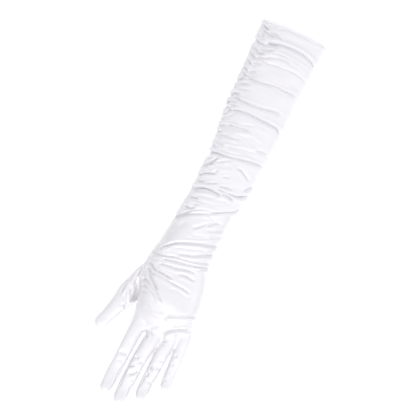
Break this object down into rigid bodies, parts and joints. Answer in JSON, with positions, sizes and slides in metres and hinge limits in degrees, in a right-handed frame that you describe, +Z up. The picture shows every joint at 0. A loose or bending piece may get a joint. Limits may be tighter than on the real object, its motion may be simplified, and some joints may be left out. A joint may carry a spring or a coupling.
{
  "type": "elbow-length glove",
  "caption": "Elbow-length satin dress glove for the left hand, with a ruched sleeve, lying palm down and open at the cuff.",
  "frame": {"origin": "middle of the glove's outline in plan, on the surface that it rests on", "axes": "+Z up from the palm's resting face to the back of the hand, +Y from the fingertips to the cuff, +X from the thumb side to the little-finger side"},
  "size_m": [0.1148, 0.4578, 0.0325],
  "materials": {
    "hand_satin": "white satin, bright face, glossy",
    "sleeve_satin": "white satin, softly matt with a faint lavender tint"
  },
  "bodies": {
    "root": {"sleeve": "sleeve_satin", "cuff_hem": "sleeve_satin", "back_panel": "hand_satin", "palm_panel": "hand_satin", "thumb": "hand_satin", "fourchette_index_middle": "hand_satin", "fourchette_middle_ring": "hand_satin", "fourchette_ring_little": "hand_satin"}
  },
  "joints": []
}
